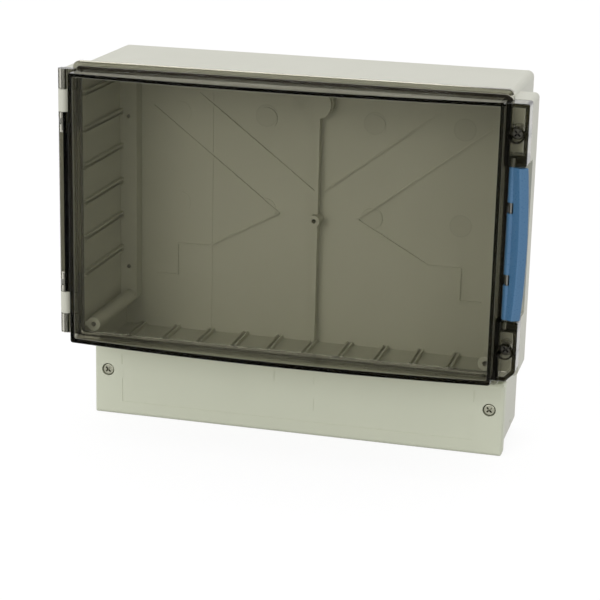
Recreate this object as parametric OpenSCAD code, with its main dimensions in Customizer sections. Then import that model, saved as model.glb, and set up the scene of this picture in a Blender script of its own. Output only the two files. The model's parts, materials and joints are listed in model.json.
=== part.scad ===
// Wall enclosure: a box with a hinged, bowed, see-through cover over the main
// compartment, and a screwed cover over the terminal compartment below it.
// The wall is the plane Y = 0, the front faces -Y and Z is up. The origin is
// the middle of the face that lies on the wall. A depth is a distance in front
// of the wall, so a depth d lies at Y = -d.

/* [Base] */
// Outside width of the base, without its side flanges
base_w = 277; // [250:1:320]
// Outside height of the base on the wall
base_h = 237.5; // [230:0.5:270]
// Outside height of the main compartment, the upper part of the base
main_h = 179; // [176:1:190]
// Depth of the main compartment, from the wall to its rim
main_d = 88; // [80:1:110]
// Depth of the terminal compartment, from the wall to its front edge
term_d = 50; // [44:1:60]
// How far the main compartment's underside slopes down towards the terminal cover
sill_drop = 13.5; // [8:0.5:14]
// Thickness of the base's walls
wall_t = 3; // [2.5:0.25:4]
// Thickness of the back wall
back_t = 3.5; // [2.5:0.25:5]
// Radius of the base's long edges
base_r = 4; // [2:0.5:6]

/* [Inside of the base] */
// How far the slotted shelf lies below the main compartment's underside
shelf_drop = 15; // [8:0.5:20]
// How far the shelf stands out from the back wall
shelf_l = 30; // [20:1:36]
// Width of the ledges along both sides of the back wall
ledge_w = 11.5; // [9:0.5:14]
// How far the ledges stand out from the back wall
ledge_h = 11.5; // [4:0.5:14]
// Radius of the pilot holes in the ledges
ledge_hole_r = 1.4; // [1:0.1:2]
// Depth of the pilot holes in the ledges
ledge_hole_l = 8; // [4:0.5:9]
// Radius of the lower corner posts that carry an inner plate
post_r = 4.5; // [3.5:0.25:5]
// Radius of the posts' pilot holes
post_hole_r = 1.7; // [1:0.1:2]
// Distance of a post's middle from the side wall
post_in_x = 6.3; // [5:0.1:8]
// Distance of a post's middle from the sill
post_in_z = 5.25; // [5:0.25:8]
// How far the posts stop behind the rim
post_back = 3; // [2:0.5:8]

/* [Card guides] */
// Spacing of the guides on the shelf and the roof
guide_pitch = 24.5; // [22:0.1:25]
// Guides on each side of the middle one
guide_side_n = 5; // [3:1:5]
// Spacing of the guides on the side walls
side_pitch = 23.6; // [22:0.1:25]
// Guides on each side wall
side_n = 6; // [4:1:6]
// Height of the lowest side guide, below the middle of the main compartment
side_first = 47.4; // [45:0.1:55]
// Gap between the two ribs of a guide
guide_gap = 2; // [1.2:0.1:3]
// Thickness of a guide rib
guide_rib = 1.2; // [0.8:0.1:2]
// Height of a guide rib
guide_h = 2.4; // [1.5:0.1:4]

/* [Back wall relief] */
// Width of the rib down the middle of the back wall
spine_w = 2.5; // [1.5:0.25:4]
// Height of that rib
spine_h = 7; // [1:0.25:8]
// Radius of the boss on the middle rib
boss_r = 3.75; // [3:0.25:5]
// Radius of the boss's hole
boss_hole_r = 1.5; // [1:0.1:2]
// Height of the boss above the back wall
boss_h = 12; // [4:0.5:14]
// How far the boss lies below the middle of the main compartment
boss_drop = 17.5; // [10:0.1:30]
// Radius of the round marks
mark_r = 7.4; // [5:0.1:9]
// Height of the round marks
mark_h = 0.7; // [0.2:0.1:0.8]
// Width of the thin relief lines
line_w = 1; // [0.5:0.1:1.5]
// Height of the thin relief lines
line_h = 1.6; // [0.3:0.1:2]
// Height of the thicker fields beside the middle of the back wall
field_h = 0.5; // [0.2:0.1:1]

/* [Wall fixing] */
// Radius of the keyhole's round part, for the head of a wall screw
key_r = 4.5; // [4:0.1:5.5]
// Half the width of the keyhole's slot
key_slot_r = 2.25; // [1.75:0.05:2.75]
// Length of the keyhole's slot above the round part
key_slot_l = 6; // [5:0.5:8]
// How far the keyhole lies below the top of the base
key_drop = 32; // [24:0.5:40]
// Outer radius of the dome over the keyhole
dome_r = 10; // [9.5:0.25:14]
// Height of the dome above the back wall
dome_h = 10; // [8:0.5:12]
// Height of the dome's upper step
dome_step = 3.5; // [2:0.5:5]
// How far that step lies inside the dome's side
dome_step_in = 0.75; // [0.5:0.25:1]
// Wall thickness of the dome
dome_t = 1.5; // [1:0.1:2]
// Radius of the two lower wall-screw holes
fix_r = 2.75; // [2:0.05:3.5]
// Distance between the two lower wall-screw holes
fix_span = 216; // [160:1:220]
// Height of the lower wall-screw holes above the middle of the room below the shelf
fix_rise = -3; // [-8:0.25:8]

/* [Cable entries] */
// Radius of the scored knock-outs in the foot of the base
knock_r = 10.2; // [6:0.1:12.5]
// Knock-outs in the row
knock_n = 5; // [3:1:7]
// Spacing of the knock-outs
knock_pitch = 38; // [30:1:40]
// Width of the scored groove around a knock-out
score_w = 0.8; // [0.5:0.1:1.2]
// Depth of the scored groove
score_t = 1.6; // [0.8:0.1:2]
// Radius of the round dimple on each side of the foot
dimple_r = 1.2; // [0.5:0.1:2]
// Depth of that dimple
dimple_t = 0.8; // [0.4:0.1:1.2]
// Height of that dimple above the foot
dimple_rise = 7.75; // [5:0.25:12]
// Depth of that dimple's middle in front of the wall
dimple_d = 21.5; // [10:0.5:34]

/* [Side flanges] */
// Width of a side flange
flange_w = 12; // [11:0.25:16]
// Depth of a side flange
flange_d = 27; // [20:1:34]
// Height of a side flange
flange_h = 173; // [172:1:176]
// Radius of the flange's corners
flange_r = 3; // [1:0.5:5]
// Thickness of the flange's walls around its rear pocket
flange_t = 2.5; // [2:0.25:4]
// Depth of the flange's rear pocket
flange_pocket = 12; // [4:1:13]
// Cells of the flange's rear pocket
flange_cells = 5; // [3:1:8]

/* [Window cover] */
// How far the cover's sides lie inside the base's outline
cover_inset = 2; // [1:0.25:3]
// How far the cover's front edge stands in front of the base's rim
cover_proj = 21.5; // [18:0.5:30]
// How far the middle of the window bows forward
bow = 7.3; // [3:0.1:12]
// Thickness of the cover's side walls
cover_t = 2.5; // [2:0.25:4]
// Thickness of the window
panel_t = 3; // [2:0.25:4]
// Radius of the cover's front corners
cover_r = 1.5; // [1:0.25:5]
// How far the rim stands out beyond the base at the sides
rim_side = 1; // [0.8:0.1:1.4]
// How far the rim stands out beyond the base at top and bottom
rim_top = 3; // [1:0.25:4]
// Thickness of the rim
rim_t = 5.2; // [4.5:0.1:7]
// Radius of the rim's corners
rim_r = 4; // [2.5:0.5:6]
// Radius of the rim's front edge
rim_edge_r = 2.4; // [0.5:0.1:2.4]

/* [Hinge] */
// How far the hinge axis lies outside the base's side
hinge_out = 5.5; // [5.3:0.1:7]
// How far the hinge axis lies in front of the base's rim
hinge_fwd = 7.5; // [7:0.1:9]
// Radius of the hinge knuckles
knuckle_r = 3.8; // [3.4:0.1:4]
// Thickness of the knuckles' webs
web_t = 6; // [4:0.5:6.5]
// Length of the cover's long knuckle
bar_l = 117.5; // [90:0.5:122]
// Length of a knuckle of the base
lug_l = 14.2; // [10:0.1:16]
// Length of the cover's end knuckles
end_l = 12.8; // [8:0.1:14]
// How far the hinge's middle lies above the cover's middle
hinge_rise = 1.75; // [0:0.25:4]
// Radius of the hinge pins
pin_r = 2; // [1.5:0.1:2.4]
// Length of a hinge pin inside the long knuckle
pin_in = 12; // [8:0.5:20]

/* [Latch and lock lugs] */
// Length of the latch
latch_l = 95; // [80:1:97]
// How far the latch's pivot lies outside the base's side
latch_out = 3.5; // [3.3:0.1:4.6]
// How far the latch's pivot lies in front of the base's rim
latch_fwd = 10; // [9.2:0.1:11]
// Radius of the latch's pivot pin
latch_pin_r = 1.25; // [1:0.05:1.4]
// Length of the pivot pin inside a lug
latch_pin_in = 5; // [3:0.5:5.5]
// Radius of the latch's barrel
barrel_r = 2.4; // [2.2:0.1:2.6]
// Thickness of the latch's lever at its ridge
lever_t = 5; // [4:0.25:6]
// How far the middle of the lever's grip stands out beyond the side flange
grip_out = 2.7; // [0:0.1:3]
// How far the grip's edge bows outward in its middle
grip_bow = 1.9; // [0.5:0.1:3]
// Radius of the grip's edge
grip_r = 1.2; // [0.8:0.1:1.5]
// How far the lever's ridge lies inside the grip's edge
ridge_in = 4.6; // [3:0.1:6]
// Length of the notches that bare the latch's pivot pin
notch_l = 6.8; // [4:0.1:9]
// Distance between the middles of the two notches
notch_span = 44.8; // [30:0.1:60]
// Thickness of the latch's hooks
hook_t = 2.8; // [2:0.1:3.5]
// Length of a hook along the latch
hook_l = 20; // [10:1:24]
// Distance between the middles of the two hooks
hook_span = 60; // [40:1:66]
// Depth of the latch's pocket in the flange
latch_pocket = 12; // [10:0.5:12]
// Height of the catch rib in the latch's pocket
catch_h = 8; // [4:0.5:9]
// Depth of the lock lugs, from the base's rim forward
lug_d = 14.7; // [12:0.1:18]
// Height of a lock lug
lock_h = 38.2; // [34:0.1:39]
// Thickness of a lug's walls
lug_t = 2.5; // [2.25:0.25:3]
// Thickness of a lug's front
lug_face_t = 3; // [2:0.25:4]
// Radius of a lug's front edges
lug_r = 1.5; // [0.5:0.25:2]
// Thickness of the lug's wall that holds the pivot pin
lug_pin_t = 6.5; // [6:0.25:8]
// Size of the cut corner on the lower lug
lug_cut = 6; // [2:0.5:8]
// Distance between the two lock screws
lock_span = 134.6; // [132:0.1:138]
// How far the lock screws lie outside the base's side
lock_out = 4.7; // [4.6:0.1:5.5]
// Height of the ring around a lock screw's head above the lug's front
ring_h = 0.4; // [0.2:0.1:1]

/* [Terminal cover] */
// How far the cover's front stands in front of the terminal compartment
tcover_proj = 8.6; // [8:0.1:12]
// How far the cover stands out beyond the base at the sides
tcover_side = 0.5; // [0:0.1:1]
// How far the cover hangs below the foot of the base
tcover_drop = 4.45; // [1:0.05:8]
// Gap between the cover and the sloping underside above it
tcover_top = 0.5; // [0.3:0.05:2]
// Thickness of the cover's front
tcover_t = 3; // [2:0.25:3.5]
// Thickness of the cover's skirt
skirt_t = 1.7; // [1.2:0.1:1.7]
// Radius of the cover's edges
tcover_r = 2.5; // [1:0.25:2.75]
// Width of a label field
label_w = 106; // [60:1:108]
// Height of a label field
label_h = 16.5; // [8:0.5:20]
// Gap between the two label fields
label_gap = 27; // [20:1:40]
// Height of the lower field that links the two label fields
label_link = 8; // [3:0.5:14]
// Height of the label fields above the cover's foot
label_rise = 9.7; // [6:0.1:16]
// Depth of the label fields and the score marks
label_sink = 0.3; // [0.2:0.1:0.8]
// Width of the short score marks above the ends of the label fields
score_mark_w = 0.6; // [0.4:0.1:1]
// Length of those marks
score_mark_l = 7; // [3:0.5:8]
// How far those marks start below the cover's top
score_mark_drop = 5.75; // [4:0.25:8]
// Distance of the cover's screws from the base's side
tscrew_x = 8.9; // [8.7:0.1:12]
// Height of the cover's screws above the middle of the terminal opening
tscrew_rise = 4.75; // [-6:0.125:6]
// Radius of the screw bosses in the terminal compartment
tboss_r = 5; // [4.5:0.1:5.4]
// Height of the tongue around the terminal opening
tongue_h = 3; // [2:0.1:3]
// Thickness of the tongue
tongue_t = 1.5; // [1:0.1:1.6]

/* [Seals and screws] */
// Thickness of the window cover's seal
seal_t = 2.5; // [1.5:0.1:3]
// How far the seal stays inside the rim wall's edges
seal_in = 0.2; // [0.1:0.05:0.4]
// Radius of the screws
screw_r = 2; // [1.5:0.1:2.2]
// Length of the screws below the head
screw_l = 16; // [14:0.5:18]
// Radius of the screw heads
head_r = 3.9; // [3:0.1:4]
// Height of the screw heads
head_h = 2.8; // [2:0.1:3]
// Width of the cross in the heads
cross_w = 1; // [0.6:0.1:1.4]
// Depth of the cross in the heads
cross_t = 1.3; // [0.6:0.1:1.6]
// Outer radius of the threaded inserts
insert_r = 3; // [2.8:0.1:3.4]
// Length of the threaded inserts
insert_l = 9; // [6:0.5:9.5]
// Outer radius of the retaining washers
washer_r = 3.6; // [3:0.1:3.7]
// Thickness of the retaining washers
washer_t = 1.2; // [0.8:0.1:1.4]

/* [Clearances] */
// Gap between faces that move apart
part_gap = 0.3; // [0.2:0.05:0.5]
// Gap around a pin that turns
pin_gap = 0.05; // [0.02:0.01:0.1]
// Gap around a screw
screw_gap = 0.3; // [0.25:0.05:0.5]
// Gap around a screw head or a washer
head_gap = 0.4; // [0.2:0.05:0.5]

/* [Hidden] */
$fn = 64;
// A cut runs this far past the face that it opens
over = 1;
// Pieces of one solid run this far into each other
bite = 0.5;

// Heights
top_z = base_h / 2;
foot_z = -base_h / 2;
sill_z = top_z - main_h;
mid_z = top_z - main_h / 2;
tcover_hi = sill_z - sill_drop - tcover_top;
tcover_lo = foot_z - tcover_drop;
term_top = tcover_hi - skirt_t - part_gap - tongue_t;
shelf_z = sill_z - shelf_drop;
key_z = top_z - key_drop;
dome_z = key_z + key_slot_l / 2;
boss_z = mid_z - boss_drop;
tscrew_z = (foot_z + wall_t + term_top) / 2 + tscrew_rise;
fix_z = (foot_z + shelf_z) / 2 + fix_rise;

// Widths and places across
half_w = base_w / 2;
in_x = half_w - wall_t;
flange_x = half_w + flange_w;
ledge_x = in_x - ledge_w;
post_x = in_x - post_in_x;
post_z = sill_z + wall_t + post_in_z;
cover_w = base_w - 2 * cover_inset;
cover_h = main_h - 2 * cover_inset;
rim_w = base_w + 2 * rim_side;
rim_h = main_h + 2 * rim_top;
hinge_x = -(half_w + hinge_out);
tscrew_at = half_w - tscrew_x;
latch_x = half_w + latch_out;
lock_x = half_w + lock_out;
hinge_z = mid_z + hinge_rise;

// Depths
shelf_d = back_t + shelf_l;
rim_d = main_d + part_gap;
rim_front = rim_d + rim_t;
edge_d = main_d + cover_proj;
bow_r = (pow(cover_w / 2, 2) + pow(bow, 2)) / (2 * bow);
hinge_d = main_d + hinge_fwd;
latch_d = main_d + latch_fwd;
lug_front = main_d + lug_d;
tcover_d = term_d + tcover_proj;
tcover_in = tcover_d - tcover_t;
tseat_d = tcover_d - head_h - head_gap;
tongue_d = term_d + tongue_h;

// Card guides that fit beside the middle one
guide_n = min(guide_side_n, floor((in_x - guide_gap - guide_rib) / guide_pitch));

// Latch and lugs
latch_half = latch_l / 2;
grip_x = flange_x + grip_out;
grip_bow_r = (pow(latch_half, 2) + pow(grip_bow, 2)) / (2 * grip_bow);
lock_near = latch_half + 2 * part_gap;
hook_x = latch_x + barrel_r + part_gap;
catch_x = hook_x - part_gap;
head_hole_r = head_r + head_gap;
washer_hole_r = washer_r + head_gap;
shank_hole_r = screw_r + screw_gap;
ring_r = head_hole_r + 1;

// Terminal cover
tcover_w = base_w + 2 * tcover_side;

// Relief lines on the right half of the back wall, as steps of the guides'
// spacing from the middle of the main compartment
star_line = [[4.7, 2.15], [1.1, -0.7], [3.1, -1.85], [4, -1.85], [4, -2.8], [4.6, -2.8]];
vee_line = [[3.4, 2.6], [0.1, 0]];
// Round marks, in the same steps
marks = [for (x = [1.5, 3.94], z = [2, -0.62]) [x, z]];
// Pilot holes in the ledges, in the same steps up from the middle
ledge_holes = [1.86, -2.55];

// Shapes

module from_wall(d0, d1) {
    translate([0, -d0, 0]) rotate([90, 0, 0]) linear_extrude(d1 - d0) children();
}

module plan(z0, z1) {
    translate([0, 0, z0]) linear_extrude(z1 - z0) mirror([0, 1]) children();
}

module block(x, d, z) {
    translate([x[0], -d[1], z[0]]) cube([x[1] - x[0], d[1] - d[0], z[1] - z[0]]);
}

// A side view, as [depth, height] points, across the width between two places
module across(x, points) {
    translate([x[0], 0, 0]) rotate([90, 0, 90]) linear_extrude(x[1] - x[0])
        polygon([for (p = points) [-p[0], p[1]]]);
}

module rod_y(x, z, d0, d1, r) {
    from_wall(d0, d1) translate([x, z]) circle(r);
}

module rod_z(x, d, z0, z1, r) {
    translate([x, -d, z0]) cylinder(r = r, h = z1 - z0);
}

module rounded(w, h, r) {
    square([w - 2 * r, h], center = true);
    square([w, h - 2 * r], center = true);
    for (x = [-1, 1], y = [-1, 1]) translate([x * (w / 2 - r), y * (h / 2 - r)]) circle(r);
}

module both_sides() {
    children();
    mirror([1, 0, 0]) children();
}

// A front view between two heights
module panel(w, lo, hi, r) {
    translate([0, (lo + hi) / 2]) rounded(w, hi - lo, r);
}

// A slab between two heights and two depths, with rounded corners and a rounded
// front edge
module soft_slab(w, lo, hi, back, front, r, edge_r) {
    deep = 2 * (front - back) + 2 * edge_r;
    mid = (lo + hi) / 2;
    intersection() {
        from_wall(back, front) translate([0, mid]) rounded(w, hi - lo, r);
        plan(lo - over, hi + over) translate([0, front - deep / 2]) rounded(w, deep, edge_r);
        translate([-w / 2 - over, -front + deep / 2, mid]) rotate([90, 0, 90])
            linear_extrude(w + 2 * over) rounded(deep, hi - lo, edge_r);
    }
}

// Base

module base_outside() {
    from_wall(0, main_d) panel(base_w, sill_z, top_z, base_r);
    from_wall(0, term_d) panel(base_w, foot_z, sill_z + 2 * base_r, base_r);
    across([-half_w, half_w],
           [[main_d, sill_z], [term_d, sill_z - sill_drop], [term_d - over, sill_z - sill_drop],
            [term_d - over, sill_z + 2 * base_r], [main_d, sill_z + 2 * base_r]]);
    from_wall(main_d - flange_d, main_d) translate([0, mid_z]) rounded(2 * flange_x, flange_h, flange_r);
}

module base_hollows() {
    block([-in_x, in_x], [back_t, main_d + over], [sill_z + wall_t, top_z - wall_t]);
    block([-in_x, in_x], [back_t, term_d + over], [foot_z + wall_t, term_top]);
    block([-in_x, in_x], [back_t, term_d - wall_t], [term_top - over, sill_z + wall_t + over]);
    inner = term_d - wall_t;
    floor_z = sill_z + wall_t;
    across([-in_x, in_x],
           [[main_d, floor_z], [inner, floor_z - sill_drop * (main_d - inner) / (main_d - term_d)],
            [inner, floor_z + over], [main_d, floor_z + over]]);
    both_sides() flange_hollow();
    latch_recess();
}

module flange_hollow() {
    cell_h = (flange_h - flange_t) / flange_cells;
    for (k = [0 : flange_cells - 1]) {
        z = mid_z - flange_h / 2 + flange_t + k * cell_h;
        block([half_w, flange_x - flange_t],
              [main_d - flange_d - over, main_d - flange_d + flange_pocket], [z, z + cell_h - flange_t]);
    }
}

module latch_recess() {
    reach = lock_near + part_gap;
    block([half_w + cover_inset, flange_x + over], [main_d - latch_pocket, main_d + over],
          [mid_z - reach, mid_z + reach]);
}

// Two ribs side by side, with the guide's gap between them, along the depth
module guide(d0, d1) {
    for (x = [-1, 1] * (guide_gap + guide_rib) / 2)
        block([x - guide_rib / 2, x + guide_rib / 2], [d0, d1], [-bite, guide_h]);
}

module card_guides() {
    for (k = [-guide_n : guide_n]) {
        translate([k * guide_pitch, 0, shelf_z]) guide(back_t - bite, shelf_d);
        translate([k * guide_pitch, 0, top_z - wall_t]) mirror([0, 0, 1])
            guide(back_t - bite, main_d - post_back);
    }
    both_sides() for (k = [0 : side_n - 1])
        translate([-in_x, 0, mid_z - side_first + k * side_pitch]) rotate([0, 90, 0])
            guide(back_t + ledge_h - bite, main_d - post_back);
}

module shelf() {
    block([-in_x - bite, in_x + bite], [back_t - bite, shelf_d], [shelf_z - wall_t, shelf_z]);
}

// A ledge beside the back wall, with pilot holes for an inner plate
module ledge() {
    difference() {
        block([ledge_x, in_x + bite], [back_t - bite, back_t + ledge_h],
              [post_z, top_z - wall_t + bite]);
        for (z = ledge_holes)
            rod_y(in_x - ledge_w / 2, mid_z + z * side_pitch,
                  back_t + ledge_h - ledge_hole_l, back_t + ledge_h + over, ledge_hole_r);
    }
}

// A post in a lower corner, with a web to the side wall
module corner_post() {
    front = main_d - post_back;
    difference() {
        union() {
            rod_y(post_x, post_z, back_t - bite, front, post_r);
            block([post_x, in_x + bite], [back_t - bite, front], [post_z - wall_t / 2, post_z + wall_t / 2]);
        }
        rod_y(post_x, post_z, front - 3 * post_r, front + over, post_hole_r);
    }
}

// A thin raised line on the back wall between two points of the front view
module relief_line(a, b) {
    run = b - a;
    from_wall(back_t - bite, back_t + line_h) translate(a) rotate(atan2(run.y, run.x))
        translate([0, -line_w / 2]) square([norm(run), line_w]);
}

function grid(p) = [p.x * guide_pitch, mid_z + p.y * side_pitch];

module relief_path(points) {
    for (k = [1 : len(points) - 1]) relief_line(grid(points[k - 1]), grid(points[k]));
}

module back_relief() {
    both_sides() {
        relief_path(star_line);
        relief_path(vee_line);
        for (m = marks) rod_y(grid(m).x, grid(m).y, back_t - bite, back_t + mark_h, mark_r);
        block([3 * guide_pitch, ledge_x + bite], [back_t - bite, back_t + field_h],
              [shelf_z - bite, top_z - wall_t + bite]);
    }
    block([-spine_w / 2, spine_w / 2], [back_t - bite, back_t + spine_h], [shelf_z - bite, dome_z]);
    rod_y(0, boss_z, back_t - bite, back_t + boss_h, boss_r);
    rod_y(0, dome_z, back_t - bite, back_t + dome_h - dome_step, dome_r);
    rod_y(0, dome_z, back_t - bite, back_t + dome_h, dome_r - dome_step_in);
}

// Bosses for the terminal cover's screws, with a web to the side wall
module terminal_boss() {
    rod_y(tscrew_at, tscrew_z, back_t - bite, term_d, tboss_r);
    block([tscrew_at, in_x + bite], [back_t - bite, term_d - wall_t],
          [tscrew_z - wall_t / 2, tscrew_z + wall_t / 2]);
}

module terminal_tongue() {
    from_wall(term_d - bite, tongue_d) difference() {
        panel(2 * (in_x + tongue_t), foot_z + wall_t - tongue_t, term_top + tongue_t, tongue_t);
        panel(2 * in_x, foot_z + wall_t, term_top, tongue_t / 2);
    }
}

module hinge_lug(z0) {
    rod_z(hinge_x, hinge_d, z0, z0 + lug_l, knuckle_r);
    block([hinge_x - web_t / 2, hinge_x + web_t / 2], [main_d - bite, hinge_d], [z0, z0 + lug_l]);
}

module latch_catch() {
    block([catch_x - hook_t, catch_x], [main_d - latch_pocket - bite, main_d - latch_pocket + catch_h],
          [mid_z - hook_span / 2 - hook_l / 2, mid_z + hook_span / 2 + hook_l / 2]);
}

module keyhole() {
    rod_y(0, key_z, -over, back_t, key_r);
    rod_y(0, key_z + key_slot_l, -over, back_t, key_slot_r);
    block([-key_slot_r, key_slot_r], [-over, back_t], [key_z, key_z + key_slot_l]);
    rod_y(0, dome_z, back_t - bite, back_t + dome_h - dome_t, dome_r - dome_step_in - dome_t);
}

module knock_outs() {
    for (k = [0 : knock_n - 1]) {
        x = (k - (knock_n - 1) / 2) * knock_pitch;
        translate([x, -term_d / 2, foot_z - over]) difference() {
            cylinder(r = knock_r + score_w, h = score_t + over);
            translate([0, 0, -over]) cylinder(r = knock_r, h = score_t + 3 * over);
        }
    }
}

// The hole for an insert, with room for the screw's tip behind it
module insert_hole(x, z, front) {
    rod_y(x, z, front - insert_l, front + over, insert_r);
    rod_y(x, z, front - screw_l + wall_t - over, front, shank_hole_r);
}

module base_holes() {
    keyhole();
    knock_outs();
    rod_y(0, boss_z, back_t, back_t + boss_h + over, boss_hole_r);
    both_sides() {
        rod_y(fix_span / 2, fix_z, -over, back_t + over, fix_r);
        insert_hole(tscrew_at, tscrew_z, term_d);
        translate([half_w - dimple_t, -dimple_d, foot_z + dimple_rise]) rotate([0, 90, 0])
            cylinder(r = dimple_r, h = dimple_t + over);
    }
    for (s = [-1, 1]) {
        insert_hole(lock_x, mid_z + s * lock_span / 2, main_d);
        rod_z(hinge_x, hinge_d, hinge_z + s * (bar_l / 2 + lug_l / 2) - lug_l,
              hinge_z + s * (bar_l / 2 + lug_l / 2) + lug_l, pin_r);
    }
}

module base() {
    color("#cfd0c4") difference() {
        union() {
            difference() {
                base_outside();
                base_hollows();
            }
            shelf();
            card_guides();
            both_sides() {
                ledge();
                corner_post();
                terminal_boss();
            }
            back_relief();
            terminal_tongue();
            latch_catch();
            hinge_lug(hinge_z + bar_l / 2 + part_gap);
            hinge_lug(hinge_z - bar_l / 2 - part_gap - lug_l);
        }
        base_holes();
    }
}

// Window cover

// Everything behind the bowed front, with the bow moved back by a thickness
module bowed(back) {
    translate([0, bow_r - edge_d - bow, mid_z - rim_h / 2])
        cylinder(r = bow_r - back, h = rim_h, $fn = 1440);
}

module cover_shell() {
    difference() {
        union() {
            intersection() {
                from_wall(rim_d, edge_d + bow + over) translate([0, mid_z])
                    rounded(cover_w, cover_h, cover_r);
                bowed(0);
            }
            soft_slab(rim_w, mid_z - rim_h / 2, mid_z + rim_h / 2, rim_d, rim_front, rim_r, rim_edge_r);
        }
        intersection() {
            from_wall(rim_d - over, edge_d + bow) translate([0, mid_z])
                rounded(cover_w - 2 * cover_t, cover_h - 2 * cover_t, cover_r / 2);
            bowed(panel_t);
        }
        cover_seal_ring();
    }
}

module cover_seal_ring() {
    from_wall(rim_d, rim_d + seal_t) translate([0, mid_z]) difference() {
        rounded(base_w - 2 * seal_in, main_h - 2 * seal_in, base_r);
        rounded(2 * (in_x + seal_in), main_h - 2 * (wall_t - seal_in), base_r / 2);
    }
}

module cover_knuckle(z0, z1) {
    rod_z(hinge_x, hinge_d, z0, z1, knuckle_r);
    block([hinge_x, -cover_w / 2 + bite], [hinge_d - web_t / 2, hinge_d + web_t / 2], [z0, z1]);
}

// Small windows in the long knuckle that show the ends of the pins
module pin_window(z) {
    block([hinge_x - knuckle_r - over, hinge_x - pin_r / 2], [hinge_d - pin_r, hinge_d + pin_r],
          [z - pin_r, z + pin_r]);
}

module cover_hinge() {
    lug_room = lug_l + 2 * part_gap;
    difference() {
        union() {
            cover_knuckle(hinge_z - bar_l / 2, hinge_z + bar_l / 2);
            for (s = [-1, 1]) {
                near = hinge_z + s * (bar_l / 2 + lug_room);
                far = near + s * end_l;
                cover_knuckle(min(near, far), max(near, far));
            }
        }
        for (s = [-1, 1]) {
            outer = hinge_z + s * (bar_l / 2 + lug_room + end_l + over);
            inner = hinge_z + s * (bar_l / 2 - pin_in - over);
            rod_z(hinge_x, hinge_d, min(inner, outer), max(inner, outer), pin_r + pin_gap);
            pin_window(hinge_z + s * (bar_l / 2 - pin_in / 2));
        }
    }
}

// The room inside a lock lug, open towards the base, behind a cut corner
module lug_hollow(near, far, cut) {
    x1 = flange_x - lug_t;
    z1 = far - lug_t;
    corner = max(cut - lug_t * (2 - sqrt(2)), part_gap);
    from_wall(rim_d - over, lug_front - lug_face_t)
        polygon([[rim_w / 2, near + lug_pin_t], [x1, near + lug_pin_t], [x1, z1 - corner],
                 [x1 - corner, z1], [rim_w / 2, z1]]);
}

// A lock lug above the latch: a hollow box with a tube for the screw
module lock_lug(cut) {
    near = mid_z + lock_near;
    far = near + lock_h;
    screw_z = mid_z + lock_span / 2;
    x0 = cover_w / 2 - bite - lug_r;
    difference() {
        union() {
            difference() {
                translate([(x0 + flange_x) / 2, 0, 0])
                    soft_slab(flange_x - x0, near, far, rim_d, lug_front, lug_r, lug_r);
                lug_hollow(near, far, cut);
            }
            rod_y(lock_x, screw_z, rim_d, lug_front + ring_h, ring_r);
        }
        rod_y(lock_x, screw_z, rim_front, lug_front + over, head_hole_r);
        rod_y(lock_x, screw_z, rim_d - over, lug_front, shank_hole_r);
        rod_y(lock_x, screw_z, rim_d - over, rim_d + washer_t + head_gap, washer_hole_r);
        rod_z(latch_x, latch_d, near - over, near + latch_pin_in, latch_pin_r);
        from_wall(rim_d - over, lug_front + over)
            polygon([[flange_x - cut, far], [flange_x + over, far - cut - over],
                     [flange_x + over, far + over], [flange_x - cut, far + over]]);
    }
}

module window_cover() {
    color("#5c5c50", 0.55) {
        cover_shell();
        cover_hinge();
        lock_lug(part_gap);
        translate([0, 0, 2 * mid_z]) mirror([0, 0, 1]) lock_lug(lug_cut);
    }
}

module cover_seal() {
    color("#2e2a24") cover_seal_ring();
}

module hinge_pin(s) {
    inner = hinge_z + s * (bar_l / 2 - pin_in);
    outer = hinge_z + s * (bar_l / 2 + lug_l + 2 * part_gap + end_l);
    color("#b9bbbd") rod_z(hinge_x, hinge_d, min(inner, outer), max(inner, outer), pin_r);
}

module hinge_pin_upper() {
    hinge_pin(1);
}

module hinge_pin_lower() {
    hinge_pin(-1);
}

// Latch

// The lever's section: a ridge between the barrel and the rounded grip
module lever_outline() {
    edge = [grip_x - grip_r, latch_d + grip_r];
    polygon([[latch_x + barrel_r / 2, latch_d], [latch_x + barrel_r / 2, latch_d + 0.75 * barrel_r],
             [grip_x - ridge_in, latch_d + lever_t], edge + grip_r * [cos(55), sin(55)],
             edge, edge - [0, grip_r]]);
    translate(edge) circle(grip_r, $fn = 48);
}

// The lever, bowed outward along its length
module lever() {
    turn = asin(latch_half / grip_bow_r) + 1;
    intersection() {
        translate([grip_x - grip_bow_r, 0, mid_z]) rotate([90, 0, 0]) rotate([0, 0, -turn])
            rotate_extrude(angle = 2 * turn, $fn = 1440) translate([grip_bow_r - grip_x, 0]) lever_outline();
        block([latch_x - barrel_r, grip_x + over], [latch_d - over, latch_d + lever_t + over],
              [mid_z - latch_half, mid_z + latch_half]);
    }
}

module hook(s) {
    z = mid_z + s * hook_span / 2;
    block([hook_x, hook_x + hook_t], [main_d - latch_pocket + lever_t / 2, latch_d + lever_t / 4],
          [z - hook_l / 2, z + hook_l / 2]);
}

module latch() {
    color("#2f5f9e") difference() {
        union() {
            rod_z(latch_x, latch_d, mid_z - latch_half, mid_z + latch_half, barrel_r);
            lever();
            for (s = [-1, 1]) hook(s);
        }
        rod_z(latch_x, latch_d, mid_z - latch_half - over, mid_z + latch_half + over,
              latch_pin_r + pin_gap);
        for (s = [-1, 1])
            block([latch_x - barrel_r - over, latch_x + 1.3 * latch_pin_r],
                  [latch_d - barrel_r - over, latch_d + barrel_r + over],
                  [mid_z + (s * notch_span - notch_l) / 2, mid_z + (s * notch_span + notch_l) / 2]);
    }
}

module latch_pin() {
    reach = lock_near + latch_pin_in;
    color("#b9bbbd") rod_z(latch_x, latch_d, mid_z - reach, mid_z + reach, latch_pin_r);
}

// Screws, washers and inserts

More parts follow.
